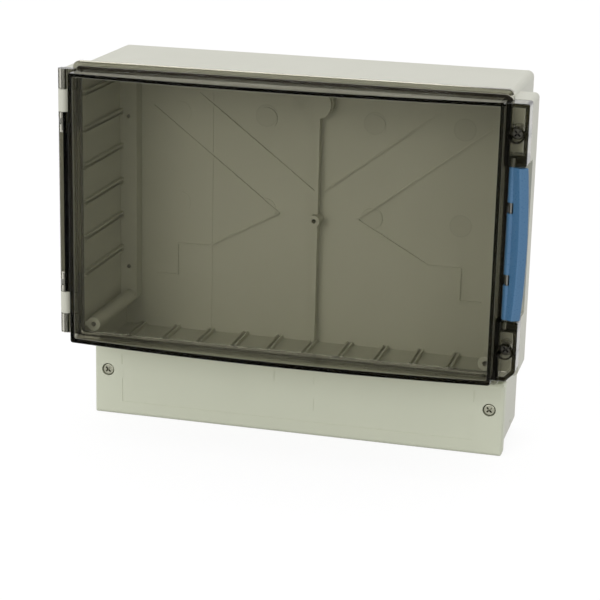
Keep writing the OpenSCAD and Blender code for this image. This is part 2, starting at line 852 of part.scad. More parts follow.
module screw(x, z, seat) {
    color("#a9a9a2") difference() {
        union() {
            rod_y(x, z, seat - screw_l, seat + bite, screw_r);
            rod_y(x, z, seat, seat + head_h, head_r);
        }
        for (turn = [45, 135])
            from_wall(seat + head_h - cross_t, seat + head_h + over) translate([x, z]) rotate(turn)
                square([1.3 * head_r, cross_w], center = true);
    }
}

module washer(x, z, back) {
    color("#e4e2d8") from_wall(back, back + washer_t) translate([x, z]) difference() {
        circle(washer_r);
        circle(screw_r);
    }
}

module insert(x, z, front) {
    color("#b08d4a") from_wall(front - insert_l, front) translate([x, z]) difference() {
        circle(insert_r);
        circle(shank_hole_r);
    }
}

module lock_screw_upper() {
    screw(lock_x, mid_z + lock_span / 2, rim_front);
}

module lock_screw_lower() {
    screw(lock_x, mid_z - lock_span / 2, rim_front);
}

module lock_washer_upper() {
    washer(lock_x, mid_z + lock_span / 2, rim_d + head_gap / 2);
}

module lock_washer_lower() {
    washer(lock_x, mid_z - lock_span / 2, rim_d + head_gap / 2);
}

module lock_insert_upper() {
    insert(lock_x, mid_z + lock_span / 2, main_d);
}

module lock_insert_lower() {
    insert(lock_x, mid_z - lock_span / 2, main_d);
}

module terminal_screw_left() {
    screw(-tscrew_at, tscrew_z, tseat_d);
}

module terminal_screw_right() {
    screw(tscrew_at, tscrew_z, tseat_d);
}

module terminal_washer_left() {
    washer(-tscrew_at, tscrew_z, term_d + part_gap + head_gap / 2);
}

module terminal_washer_right() {
    washer(tscrew_at, tscrew_z, term_d + part_gap + head_gap / 2);
}

module terminal_insert_left() {
    insert(-tscrew_at, tscrew_z, term_d);
}

module terminal_insert_right() {
    insert(tscrew_at, tscrew_z, term_d);
}

// Terminal cover

module label_fields() {
    low = tcover_lo + label_rise;
    inner = label_gap / 2;
    sunk = [tcover_d - label_sink, tcover_d + over];
    block([-inner - bite, inner + bite], sunk, [low, low + label_link]);
    both_sides() block([inner, inner + label_w], sunk, [low, low + label_h]);
}

module score_marks() {
    high = tcover_hi - score_mark_drop;
    both_sides() for (x = [label_gap / 2, label_gap / 2 + label_w])
        block([x - score_mark_w / 2, x + score_mark_w / 2], [tcover_d - label_sink, tcover_d + over],
              [high - score_mark_l, high]);
}

module terminal_cover() {
    color("#c3c5b4") difference() {
        union() {
            difference() {
                soft_slab(tcover_w, tcover_lo, tcover_hi, term_d + part_gap, tcover_d,
                          tcover_r, tcover_r);
                from_wall(term_d, tcover_in)
                    panel(tcover_w - 2 * skirt_t, tcover_lo + skirt_t, tcover_hi - skirt_t, tcover_r / 2);
            }
            both_sides() rod_y(tscrew_at, tscrew_z, term_d + part_gap, tcover_in + bite, tboss_r);
        }
        label_fields();
        score_marks();
        both_sides() {
            rod_y(tscrew_at, tscrew_z, tseat_d, tcover_d + over, head_hole_r);
            rod_y(tscrew_at, tscrew_z, term_d, tcover_d, shank_hole_r);
            rod_y(tscrew_at, tscrew_z, term_d, term_d + part_gap + washer_t + head_gap, washer_hole_r);
        }
    }
}

module terminal_seal() {
    color("#2e2a24") from_wall(tongue_d + part_gap, tcover_in) difference() {
        panel(2 * (in_x + tongue_t), foot_z + wall_t - tongue_t, term_top + tongue_t, tongue_t);
        panel(2 * in_x, foot_z + wall_t, term_top, tongue_t / 2);
    }
}

base();
window_cover();
cover_seal();
hinge_pin_upper();
hinge_pin_lower();
latch();
latch_pin();
lock_screw_upper();
lock_screw_lower();
lock_washer_upper();
lock_washer_lower();
lock_insert_upper();
lock_insert_lower();
terminal_cover();
terminal_seal();
terminal_screw_left();
terminal_screw_right();
terminal_washer_left();
terminal_washer_right();
terminal_insert_left();
terminal_insert_right();
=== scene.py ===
"""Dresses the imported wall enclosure: its mouldings, latch, screws, finishes and studio.

Sizes are in millimetres and depths are distances in front of the wall, so a
depth d lies at Y = -d. X runs to the right and Z up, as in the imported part.
"""

import json
import logging
import math
from dataclasses import dataclass
from enum import Enum
from typing import Any, Callable, Sequence

import bmesh
import bpy
from mathutils import Matrix, Vector


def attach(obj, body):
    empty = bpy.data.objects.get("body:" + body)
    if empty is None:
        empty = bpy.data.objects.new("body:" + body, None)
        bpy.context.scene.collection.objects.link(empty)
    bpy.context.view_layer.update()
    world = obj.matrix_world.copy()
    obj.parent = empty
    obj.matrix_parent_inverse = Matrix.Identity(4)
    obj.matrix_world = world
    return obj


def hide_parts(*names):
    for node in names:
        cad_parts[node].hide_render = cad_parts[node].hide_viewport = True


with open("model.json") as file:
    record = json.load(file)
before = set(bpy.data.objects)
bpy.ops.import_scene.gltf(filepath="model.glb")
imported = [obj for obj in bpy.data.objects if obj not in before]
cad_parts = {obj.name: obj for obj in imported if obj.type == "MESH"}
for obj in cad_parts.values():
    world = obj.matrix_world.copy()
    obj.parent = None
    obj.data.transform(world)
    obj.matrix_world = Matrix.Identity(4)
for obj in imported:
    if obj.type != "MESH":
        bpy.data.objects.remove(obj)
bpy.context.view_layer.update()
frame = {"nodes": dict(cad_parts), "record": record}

LOG = logging.getLogger("wall_enclosure")
Span = tuple[float, float]
Triple = tuple[float, float, float]
EdgeTest = Callable[[bmesh.types.BMEdge], bool]
MM = 0.001
# How far a cutting block stands past the face that it cuts
OVER = 1.0
# Where most values of a noise texture lie
NOISE: Span = (0.3, 0.7)


class Axis(Enum):
    """The three directions of the part, by their place in a vector."""

    X = 0
    Y = 1
    Z = 2


class Merge(Enum):
    """How two solids are put together."""

    ADD = "UNION"
    CUT = "DIFFERENCE"
    KEEP_SHARED = "INTERSECT"


class Side(Enum):
    """Above or below the middle of the cover."""

    UPPER = 1
    LOWER = -1


def linear(hex_colour: str) -> tuple[float, float, float, float]:
    """Turns an sRGB hex colour into linear light.

    Args:
        hex_colour: Six hex digits after a hash.

    Returns:
        Red, green, blue and an alpha of 1.
    """
    parts = [int(hex_colour[k:k + 2], 16) / 255 for k in (1, 3, 5)]
    lit = [p / 12.92 if p <= 0.04045 else ((p + 0.055) / 1.055) ** 2.4 for p in parts]
    return (lit[0], lit[1], lit[2], 1.0)


def per_mm(size: float) -> float:
    """The texture scale at which one feature of a pattern is this many millimetres wide."""
    return 1 / (size * MM)


def add_node(tree: bpy.types.NodeTree, kind: str, inputs: dict[Any, Any] | None = None,
             **settings: Any) -> bpy.types.Node:
    """Adds a node with its settings, its values and its links.

    Args:
        tree: The tree that gets the node.
        kind: Blender's name for the node.
        inputs: Value or output socket for each input, by the input's name or number.
        settings: The node's own settings.

    Returns:
        The new node.
    """
    node = tree.nodes.new(kind)
    for name, value in settings.items():
        setattr(node, name, value)
    for key, value in (inputs or {}).items():
        if isinstance(value, bpy.types.NodeSocket):
            tree.links.new(value, node.inputs[key])
        else:
            node.inputs[key].default_value = value
    return node


def new_material(name: str) -> bpy.types.Material:
    """Starts a material with an empty node tree."""
    made = bpy.data.materials.new(name)
    made.use_nodes = True
    made.node_tree.nodes.clear()
    return made


def runs(edge: bmesh.types.BMEdge, axis: Axis) -> bool:
    """Whether an edge runs along an axis."""
    run = edge.verts[1].co - edge.verts[0].co
    return abs(run[axis.value]) > 0.999 * run.length


def lies(edge: bmesh.types.BMEdge, axis: Axis, place: float) -> bool:
    """Whether both ends of an edge lie at a place along an axis, in millimetres."""
    return all(abs(v.co[axis.value] / MM - place) < 0.02 for v in edge.verts)


def turns(edge: bmesh.types.BMEdge, degrees: float = 30) -> bool:
    """Whether the faces beside an edge meet at more than an angle."""
    return edge.calc_face_angle(0) > math.radians(degrees)


class Bench:
    """Models one piece at a time with Blender's own operators."""

    @staticmethod
    def clear() -> None:
        """Leaves edit mode and deselects every object."""
        active = bpy.context.view_layer.objects.active
        if active is not None and active.mode != "OBJECT":
            bpy.ops.object.mode_set(mode="OBJECT")
        bpy.ops.object.select_all(action="DESELECT")

    @staticmethod
    def take(obj: bpy.types.Object) -> None:
        """Selects one object alone and makes it the active one."""
        Bench.clear()
        obj.select_set(True)
        bpy.context.view_layer.objects.active = obj

    @staticmethod
    def settle(name: str) -> bpy.types.Object:
        """Names the new primitive and moves its place into its mesh.

        Args:
            name: The piece's name.

        Returns:
            The object, at the origin, unturned and unscaled.
        """
        obj = bpy.context.object
        obj.name = name
        obj.data.name = name
        bpy.ops.object.transform_apply(location=True, rotation=True, scale=True)
        return obj

    @staticmethod
    def block(name: str, x: Span, d: Span, z: Span) -> bpy.types.Object:
        """Adds a block between two places on each axis.

        Args:
            name: The piece's name.
            x: Lowest and highest X.
            d: Nearest and farthest depth in front of the wall.
            z: Lowest and highest Z.

        Returns:
            The block.
        """
        Bench.clear()
        middle = Vector((sum(x) / 2, -sum(d) / 2, sum(z) / 2)) * MM
        size = Vector((x[1] - x[0], d[1] - d[0], z[1] - z[0])) * MM
        bpy.ops.mesh.primitive_cube_add(size=1, location=middle, scale=size)
        return Bench.settle(name)

    @staticmethod
    def rod(name: str, middle: Sequence[float], radius: float, length: float, axis: Axis,
            sides: int = 40) -> bpy.types.Object:
        """Adds a rod along an axis.

        Args:
            name: The piece's name.
            middle: X, depth and Z of the rod's middle.
            radius: The rod's radius.
            length: The rod's length.
            axis: The rod's direction.
            sides: Faces around the rod.

        Returns:
            The rod.
        """
        Bench.clear()
        turn = {Axis.X: (0, math.pi / 2, 0), Axis.Y: (math.pi / 2, 0, 0), Axis.Z: (0, 0, 0)}[axis]
        place = Vector((middle[0], -middle[1], middle[2])) * MM
        bpy.ops.mesh.primitive_cylinder_add(vertices=sides, radius=radius * MM, depth=length * MM,
                                            location=place, rotation=turn)
        return Bench.settle(name)

    @staticmethod
    def turned(name: str, rings: Sequence[tuple[float, float]], sides: int = 40) -> bpy.types.Object:
        """Turns a profile: a disc that is extruded and resized ring by ring along Z.

        Args:
            name: The piece's name.
            rings: Level and radius of each ring, from the lowest up.
            sides: Faces around the piece.

        Returns:
            The closed turned piece, on the Z axis.
        """
        Bench.clear()
        level, radius = rings[0]
        bpy.ops.mesh.primitive_circle_add(vertices=sides, radius=radius * MM, fill_type="NGON",
                                          location=(0, 0, level * MM))
        obj = Bench.settle(name)
        bpy.ops.object.mode_set(mode="EDIT")
        bpy.ops.mesh.select_mode(type="FACE")
        bpy.ops.mesh.select_all(action="SELECT")
        for next_level, next_radius in rings[1:]:
            bpy.ops.mesh.extrude_region_move(
                TRANSFORM_OT_translate={"value": (0, 0, (next_level - level) * MM)})
            factor = next_radius / radius
            bpy.ops.transform.resize(value=(factor, factor, 1), center_override=(0, 0, next_level * MM))
            level, radius = next_level, next_radius
        bpy.ops.mesh.select_all(action="SELECT")
        bpy.ops.mesh.normals_make_consistent(inside=False)
        bpy.ops.object.mode_set(mode="OBJECT")
        return obj

    @staticmethod
    def pick(obj: bpy.types.Object, test: EdgeTest) -> int:
        """Opens a piece in edit mode with only the edges that pass a test selected.

        Args:
            obj: The piece.
            test: Says whether an edge is taken.

        Returns:
            How many edges are selected.
        """
        Bench.take(obj)
        bpy.ops.object.mode_set(mode="EDIT")
        bpy.ops.mesh.select_mode(type="EDGE")
        bpy.ops.mesh.select_all(action="DESELECT")
        mesh = bmesh.from_edit_mesh(obj.data)
        mesh.normal_update()
        chosen = [edge for edge in mesh.edges if test(edge)]
        for edge in chosen:
            edge.select_set(True)
        bmesh.update_edit_mesh(obj.data)
        return len(chosen)

    @staticmethod
    def soften(obj: bpy.types.Object, width: float, test: EdgeTest, segments: int = 4) -> None:
        """Rounds the edges that pass a test.

        Args:
            obj: The piece.
            width: The rounding's radius.
            test: Says whether an edge is rounded.
            segments: Faces across the rounding.
        """
        if not Bench.pick(obj, test):
            LOG.warning("%s: no edge to soften", obj.name)
        bpy.ops.mesh.bevel(offset=width * MM, offset_type="OFFSET", segments=segments, profile=0.5,
                           affect="EDGES", clamp_overlap=True)
        bpy.ops.object.mode_set(mode="OBJECT")

    @staticmethod
    def merge(obj: bpy.types.Object, tool: bpy.types.Object, how: Merge) -> None:
        """Adds, cuts or meets one piece with another, which is used up.

        Args:
            obj: The piece that stays.
            tool: The piece that is used up.
            how: The way they are put together.
        """
        Bench.take(obj)
        step = obj.modifiers.new("merge", "BOOLEAN")
        step.operation = how.value
        step.solver = "EXACT"
        step.object = tool
        bpy.ops.object.modifier_apply(modifier=step.name)
        mesh = tool.data
        bpy.data.objects.remove(tool)
        bpy.data.meshes.remove(mesh)

    @staticmethod
    def finish(obj: bpy.types.Object, angle: float = 32) -> None:
        """Merges doubles and shades the roundings smooth with the flats kept flat.

        Args:
            obj: The piece.
            angle: Edges that turn by more degrees than this stay sharp.
        """
        Bench.take(obj)
        bpy.ops.object.mode_set(mode="EDIT")
        bpy.ops.mesh.select_all(action="SELECT")
        bpy.ops.mesh.remove_doubles(threshold=0.002 * MM)
        bpy.ops.object.mode_set(mode="OBJECT")
        bpy.ops.object.shade_smooth_by_angle(angle=math.radians(angle))
        step = obj.modifiers.new("flats", "WEIGHTED_NORMAL")
        step.keep_sharp = True
        step.weight = 100
        bpy.ops.object.modifier_apply(modifier=step.name)

    @staticmethod
    def copy(obj: bpy.types.Object, name: str, place: Matrix) -> bpy.types.Object:
        """Copies a piece, with a mesh of its own, to a place.

        Args:
            obj: The piece.
            name: The copy's name.
            place: Where the copy's mesh goes.

        Returns:
            The copy.
        """
        twin = obj.copy()
        twin.data = obj.data.copy()
        twin.name = name
        twin.data.name = name
        twin.data.transform(place)
        bpy.context.scene.collection.objects.link(twin)
        return twin


@dataclass(frozen=True)
class MouldedPlastic:
    """An injection-moulded plastic with a fine spark-eroded skin."""

    name: str
    light: str
    dark: str
    roughness: Span
    ior: float = 1.53
    cloud_size: float = 45.0
    grain_size: float = 0.9
    grain_depth: float = 0.012

    def material(self) -> bpy.types.Material:
        """Builds the material.

        Returns:
            A soft cloud of two close shades under a fine even grain.
        """
        made = new_material(self.name)
        tree = made.node_tree
        place = add_node(tree, "ShaderNodeTexCoord").outputs["Object"]
        cloud = add_node(tree, "ShaderNodeTexNoise", {"Vector": place, "Scale": per_mm(self.cloud_size),
                                                      "Detail": 3.0})
        shade = add_node(tree, "ShaderNodeMix", {"Factor": cloud.outputs["Fac"], 6: linear(self.light),
                                                 7: linear(self.dark)}, data_type="RGBA")
        colour = self.paint_mark_shade(tree, place, shade.outputs[2])
        grain = add_node(tree, "ShaderNodeTexNoise", {"Vector": place, "Scale": per_mm(self.grain_size),
                                                      "Detail": 2.0})
        gloss = add_node(tree, "ShaderNodeMapRange", {"Value": grain.outputs["Fac"], "From Min": NOISE[0],
                                                      "From Max": NOISE[1], "To Min": self.roughness[0],
                                                      "To Max": self.roughness[1]})
        bump = add_node(tree, "ShaderNodeBump", {"Height": grain.outputs["Fac"], "Strength": 0.5,
                                                 "Distance": self.grain_depth * MM})
        skin = add_node(tree, "ShaderNodeBsdfPrincipled", {
            "Base Color": colour, "Roughness": gloss.outputs["Result"], "IOR": self.ior,
            "Normal": bump.outputs["Normal"]})
        add_node(tree, "ShaderNodeOutputMaterial", {"Surface": skin.outputs["BSDF"]})
        return made

    def paint_mark_shade(self, tree: bpy.types.NodeTree, place: bpy.types.NodeSocket,
               colour: bpy.types.NodeSocket) -> bpy.types.NodeSocket:
        """Leaves the colour as it is. A plastic with pin marks paints their shade here.

        Args:
            tree: The tree that would get the nodes; not used here.
            place: The place on the piece; not used here.
            colour: The plain colour.

        Returns:
            The colour to use.
        """
        return colour


@dataclass(frozen=True)
class PinMarkShadedPlastic(MouldedPlastic):
    """A moulded plastic with painted shade at the round marks of the ejector pins on its back wall."""

    # The colour of the painted shade in the pin marks
    mark_shade: str = "#a9a89a"
    strength: Span = (0.14, 0.6)
    places: tuple[Span, ...] = (
        (-36.75, 78.24),
        (36.75, 78.24),
        (96.53, 78.24),
        (36.75, 14.06),
        (96.53, 14.06),
    )
    radius: float = 7.4
    ring: float = 0.7
    depth: Span = (3.0, 4.6)

    def paint_mark_shade(self, tree: bpy.types.NodeTree, place: bpy.types.NodeSocket,
               colour: bpy.types.NodeSocket) -> bpy.types.NodeSocket:
        """Paints shade on the discs that the pins leave: faint over each disc and strongest at its rim, where
        the edge of a sunk mark would lie in shade.

        Args:
            tree: The tree that gets the nodes.
            place: The place on the piece.
            colour: The plain colour.

        Returns:
            The colour with the painted shade of the marks.
        """
        parts = add_node(tree, "ShaderNodeSeparateXYZ", {0: place})
        flat = add_node(tree, "ShaderNodeCombineXYZ", {"X": parts.outputs["X"], "Z": parts.outputs["Z"]})
        nearest = None
        for x, z in self.places:
            away = add_node(tree, "ShaderNodeVectorMath", {0: flat.outputs[0], 1: (x * MM, 0, z * MM)},
                            operation="DISTANCE").outputs["Value"]
            nearest = away if nearest is None else add_node(
                tree, "ShaderNodeMath", {0: nearest, 1: away}, operation="MINIMUM").outputs[0]
        # Painted shade: faint inside each disc and strongest in a ring at its rim
        disc = add_node(tree, "ShaderNodeMath", {0: nearest, 1: self.radius * MM}, operation="LESS_THAN")
        rim = add_node(tree, "ShaderNodeMapRange", {
            "Value": nearest, "From Min": (self.radius - self.ring) * MM, "From Max": self.radius * MM,
            "To Min": self.strength[0], "To Max": self.strength[1]})
        near = add_node(tree, "ShaderNodeMath", {0: parts.outputs["Y"], 1: -self.depth[1] * MM},
                        operation="GREATER_THAN")
        far = add_node(tree, "ShaderNodeMath", {0: parts.outputs["Y"], 1: -self.depth[0] * MM},
                       operation="LESS_THAN")
        level = add_node(tree, "ShaderNodeMath", {0: near.outputs[0], 1: far.outputs[0]},
                         operation="MULTIPLY")
        spot = add_node(tree, "ShaderNodeMath", {0: disc.outputs[0], 1: level.outputs[0]},
                        operation="MULTIPLY")
        shade_share = add_node(tree, "ShaderNodeMath", {0: spot.outputs[0], 1: rim.outputs["Result"]},
                         operation="MULTIPLY")
        both = add_node(tree, "ShaderNodeMix", {"Factor": shade_share.outputs[0], 6: colour, 7: linear(self.mark_shade)},
                        data_type="RGBA")
        return both.outputs[2]


@dataclass(frozen=True)
class SmokedClear:
    """A polished clear plastic, tinted all through, that lets the lamps in."""

    name: str
    tint: str
    density: float
    ior: float = 1.58
    mirror: float = 0.1
    roughness: Span = (0.0, 0.02)
    flow_size: float = 60.0

    def material(self) -> bpy.types.Material:
        """Builds the material.

        Returns:
            A polished surface over a smoky tint that darkens with the length of the way through.
        """
        made = new_material(self.name)
        tree = made.node_tree
        place = add_node(tree, "ShaderNodeTexCoord").outputs["Object"]
        flow = add_node(tree, "ShaderNodeTexNoise", {"Vector": place, "Scale": per_mm(self.flow_size),
                                                     "Detail": 2.0})
        haze = add_node(tree, "ShaderNodeMapRange", {"Value": flow.outputs["Fac"], "From Min": 0.35,
                                                     "From Max": 0.75, "To Min": self.roughness[0],
                                                     "To Max": self.roughness[1]})
        glass = add_node(tree, "ShaderNodeBsdfPrincipled", {
            "Base Color": (1, 1, 1, 1), "Roughness": haze.outputs["Result"], "IOR": self.ior,
            "Specular Tint": (self.mirror, self.mirror, self.mirror, 1), "Transmission Weight": 1.0})
        lamp_way = add_node(tree, "ShaderNodeBsdfTransparent", {"Color": (0.95, 0.95, 0.95, 1)})
        rays = add_node(tree, "ShaderNodeLightPath")
        both = add_node(tree, "ShaderNodeMixShader", {"Fac": rays.outputs["Is Shadow Ray"],
                                                      1: glass.outputs["BSDF"],
                                                      2: lamp_way.outputs["BSDF"]})
        smoke = add_node(tree, "ShaderNodeVolumeAbsorption", {"Color": linear(self.tint),
                                                              "Density": self.density})
        add_node(tree, "ShaderNodeOutputMaterial", {"Surface": both.outputs["Shader"],
                                                    "Volume": smoke.outputs["Volume"]})
        return made


@dataclass(frozen=True)
class CellFoam:
    """A closed-cell rubber foam."""

    name: str
    light: str
    dark: str
    cell_size: float = 0.7

    def material(self) -> bpy.types.Material:
        """Builds the material.

        Returns:
            A dull dark skin of small round cells.
        """
        made = new_material(self.name)
        tree = made.node_tree
        place = add_node(tree, "ShaderNodeTexCoord").outputs["Object"]
        cells = add_node(tree, "ShaderNodeTexVoronoi", {"Vector": place, "Scale": per_mm(self.cell_size)})
        shade = add_node(tree, "ShaderNodeMix", {"Factor": cells.outputs["Distance"], 6: linear(self.dark),
                                                 7: linear(self.light)}, data_type="RGBA")
        bump = add_node(tree, "ShaderNodeBump", {"Height": cells.outputs["Distance"], "Strength": 0.6,
                                                 "Distance": 0.1 * MM})
        skin = add_node(tree, "ShaderNodeBsdfPrincipled", {
            "Base Color": shade.outputs[2], "Roughness": 0.85, "IOR": 1.5, "Normal": bump.outputs["Normal"]})
        add_node(tree, "ShaderNodeOutputMaterial", {"Surface": skin.outputs["BSDF"]})
        return made


@dataclass(frozen=True)
class WorkedMetal:
    """A drawn, turned or plated metal, with marks along one direction."""

    name: str
    light: str
    dark: str
    roughness: Span
    mark_size: float
    stretch: Triple = (1.0, 1.0, 1.0)

    def material(self) -> bpy.types.Material:
        """Builds the material.

        Returns:
            A metal whose colour and gloss vary along its marks.
        """
        made = new_material(self.name)
        tree = made.node_tree
        place = add_node(tree, "ShaderNodeTexCoord").outputs["Object"]
        along = add_node(tree, "ShaderNodeMapping", {"Vector": place, "Scale": self.stretch})
        marks = add_node(tree, "ShaderNodeTexNoise", {"Vector": along.outputs["Vector"],
                                                      "Scale": per_mm(self.mark_size), "Detail": 4.0})
        shade = add_node(tree, "ShaderNodeMix", {"Factor": marks.outputs["Fac"], 6: linear(self.light),
                                                 7: linear(self.dark)}, data_type="RGBA")
        gloss = add_node(tree, "ShaderNodeMapRange", {"Value": marks.outputs["Fac"], "From Min": NOISE[0],
                                                      "From Max": NOISE[1], "To Min": self.roughness[0],
                                                      "To Max": self.roughness[1]})
        skin = add_node(tree, "ShaderNodeBsdfPrincipled", {
            "Base Color": shade.outputs[2], "Metallic": 1.0, "Roughness": gloss.outputs["Result"]})
        add_node(tree, "ShaderNodeOutputMaterial", {"Surface": skin.outputs["BSDF"]})
        return made


# ABS moulded in a spark-eroded tool: a warm pale grey with an even satin sheen. On the back wall, painted
# shade darkens the discs where the ejector pins stood, most at their rims
BASE_ABS = PinMarkShadedPlastic("abs_warm_grey", "#d2d2c5", "#cbcbbd", (0.42, 0.52))
# The same ABS from another tool, a touch greener
TERMINAL_ABS = MouldedPlastic("abs_terminal_grey", "#d4d7c3", "#ced1bd", (0.42, 0.52))
# Blue acetal: smooth and a little glossy, with a soft bright line along each rounding
LATCH_ACETAL = MouldedPlastic("acetal_blue", "#49759b", "#426c90", (0.26, 0.34), ior=1.48, cloud_size=20,
                              grain_depth=0.004)
# Natural nylon: a milky white that is a little waxy
WASHER_NYLON = MouldedPlastic("nylon_natural", "#e6e3d8", "#dedacd", (0.38, 0.46), cloud_size=4)
# Polycarbonate, polished and smoked: clear to look through and nearly black along its edges.
# Its mirror image is weaker than a bare pane's, as on the object
COVER_POLYCARBONATE = SmokedClear("polycarbonate_smoked", "#8c8756", 215)
# Closed-cell EPDM foam: dull and nearly black. Its cells are drawn coarser than life to show
SEAL_FOAM = CellFoam("epdm_foam", "#3a342b", "#1c1915")
# Drawn steel wire: a dull grey with fine lines along its length
PIN_STEEL = WorkedMetal("steel_drawn", "#8f8f8a", "#6e6e6a", (0.3, 0.42), 0.5, (1.0, 1.0, 0.05))
# Zinc-plated steel: a soft silver, a little yellow, with faint mottling from the bath
SCREW_ZINC = WorkedMetal("steel_zinc_plated", "#b4b4a2", "#888878", (0.24, 0.4), 1.5)
# Passivated steel: a dark grey that only glints at its edges
LOCK_STEEL = WorkedMetal("steel_passivated", "#504f48", "#363530", (0.3, 0.44), 1.5)
# Turned brass: warm, with fine rings from the lathe
INSERT_BRASS = WorkedMetal("brass_turned", "#d3ae62", "#a8843f", (0.2, 0.34), 0.6, (1.0, 6.0, 1.0))


@dataclass
class WindowCover:
    """The smoked cover with its rim, hinge knuckles and lock lugs."""

    middle: float = 29.25
    half_width: float = 136.5
    half_height: float = 87.5
    corner: float = 1.5
    back: float = 88.3
    front: float = 116.76
    bow_radius: float = 1279.84
    wall: float = 2.5
    panel: float = 3.0
    edge: float = 0.5
    hollow_edge: float = 0.4
    window_in: float = 1.5
    rim_half: Span = (139.5, 92.5)
    rim_front: float = 93.5
    rim_corner: float = 4.0
    rim_edge: float = 2.4
    seal_half: Span = (138.3, 89.3)
    groove_corner: float = 4.0
    seal_width: float = 2.6
    seal_front: float = 90.8
    seal_room: float = 0.05
    hinge: Span = (-144.0, 95.5)
    hinge_middle: float = 31.0
    knuckle: float = 3.8
    knuckle_edge: float = 0.5
    web: float = 6.0
    web_in: float = 0.5
    bar: float = 117.5
    lug_room: float = 14.8
    end: float = 12.8
    pin: float = 2.05
    pin_in: float = 12.0
    opening_half: float = 2.0
    opening_from: float = 1.0
    lug_x: Span = (136.0, 150.5)
    lug_near: float = 48.1
    lug_far: float = 86.3
    lug_front: float = 102.7
    lug_wall: float = 2.5
    lug_face: float = 3.0
    lug_edge: float = 1.5
    lug_back_in: float = 0.02
    room_in: float = 0.1
    room_edge: float = 0.6
    lug_cut: float = 6.0
    pin_wall: float = 6.5
    screw_x: float = 143.2
    screw_rise: float = 67.3
    ring: float = 5.3
    ring_edge: float = 0.3
    ring_front: float = 103.1
    head_room: float = 4.3
    shank_room: float = 2.3
    washer_room: float = 4.0
    washer_front: float = 89.9
    latch: Span = (142.0, 98.0)
    latch_pin: float = 1.28
    latch_pin_in: float = 5.05

    def bowed(self, name: str, half: Span, depth: Span, corner: float, inset: float,
              edge: float) -> bpy.types.Object:
        """Shapes a block with rounded corners and the window's bowed, softened front.

        Args:
            name: The piece's name.
            half: Half the width and half the height.
            depth: Depth of the back, and a depth in front of the bow.
            corner: Radius of the corners.
            inset: How far the bow lies behind the window's front.
            edge: Radius of the front edge.

        Returns:
            The block.
        """
        obj = Bench.block(name, (-half[0], half[0]), depth, (self.middle - half[1], self.middle + half[1]))
        Bench.soften(obj, corner, lambda e: runs(e, Axis.Y), 6)
        bow = Bench.rod("bow", (0, self.front - self.bow_radius, self.middle), self.bow_radius - inset,
                        4 * half[1], Axis.Z, 1440)
        Bench.merge(obj, bow, Merge.KEEP_SHARED)

        def outline(e: bmesh.types.BMEdge) -> bool:
            """Whether an edge lies between the bowed front and a side."""
            fronts = [f.normal.y < -0.9 for f in e.link_faces]
            sides = [abs(f.normal.y) < 0.3 for f in e.link_faces]
            return any(fronts) and any(sides)

        Bench.soften(obj, edge, outline, 4)
        return obj

    def frame_ring(self, name: str, half: Span, width: float, depth: Span,
                   corner: float) -> bpy.types.Object:
        """Makes a flat ring with rounded corners.

        Args:
            name: The piece's name.
            half: Half the outer width and height.
            width: Width of the ring's band.
            depth: Depths of its back and front.
            corner: Radius of the outer corners.

        Returns:
            The ring.
        """
        outer = Bench.block(name, (-half[0], half[0]), depth, (self.middle - half[1], self.middle + half[1]))
        Bench.soften(outer, corner, lambda e: runs(e, Axis.Y), 6)
        inner = Bench.block("inner", (width - half[0], half[0] - width), (depth[0] - OVER, depth[1] + OVER),
                            (self.middle - half[1] + width, self.middle + half[1] - width))
        Bench.soften(inner, corner / 2, lambda e: runs(e, Axis.Y), 5)
        Bench.merge(outer, inner, Merge.CUT)
        return outer

    def rim(self) -> bpy.types.Object:
        """Makes the rim, a slab with a rounded front edge.

        Returns:
            The rim.
        """
        wide, high = self.rim_half
        obj = Bench.block("rim", (-wide, wide), (self.back, self.rim_front),
                          (self.middle - high, self.middle + high))
        Bench.soften(obj, self.rim_corner, lambda e: runs(e, Axis.Y), 8)
        Bench.soften(obj, self.rim_edge, lambda e: lies(e, Axis.Y, -self.rim_front) and turns(e), 6)
        return obj

    def knuckles(self, obj: bpy.types.Object) -> None:
        """Adds the hinge knuckles with their bores and pin windows.

        Args:
            obj: The cover.
        """
        x, d = self.hinge
        half = self.bar / 2
        wall = self.web_in - self.half_width
        spans = [(self.hinge_middle - half, self.hinge_middle + half)]
        for side in Side:
            near = self.hinge_middle + side.value * (half + self.lug_room)
            spans.append(tuple(sorted((near, near + side.value * self.end))))
        for low, high in spans:
            arm = Bench.block("web", (x, wall), (d - self.web / 2, d + self.web / 2), (low, high))
            eye = Bench.rod("eye", (x, d, (low + high) / 2), self.knuckle, high - low, Axis.Z, 32)
            Bench.merge(eye, arm, Merge.ADD)
            Bench.soften(eye, self.knuckle_edge, lambda e: turns(e, 60) and not lies(e, Axis.X, wall), 2)
            Bench.merge(obj, eye, Merge.ADD)
        for side in Side:
            inner = self.hinge_middle + side.value * (half - self.pin_in - OVER)
            outer = self.hinge_middle + side.value * (half + self.lug_room + self.end + OVER)
            bore = Bench.rod("bore", (x, d, (inner + outer) / 2), self.pin, abs(outer - inner), Axis.Z, 24)
            Bench.merge(obj, bore, Merge.CUT)
            level = self.hinge_middle + side.value * (half - self.pin_in / 2)
            opening = Bench.block("opening", (x - self.knuckle - OVER, x - self.opening_from),
                                  (d - self.opening_half, d + self.opening_half),
                                  (level - self.opening_half, level + self.opening_half))
            Bench.merge(obj, opening, Merge.CUT)

    def lock_lug(self, side: Side) -> bpy.types.Object:
        """Makes a lock lug: a hollow box with a tube for its screw and, below the latch, a cut corner.

        Args:
            side: Above or below the latch.

        Returns:
            The lug.
        """
        def level(rise: float) -> float:
            """The height of a place that lies this far from the cover's middle."""
            return self.middle + side.value * rise

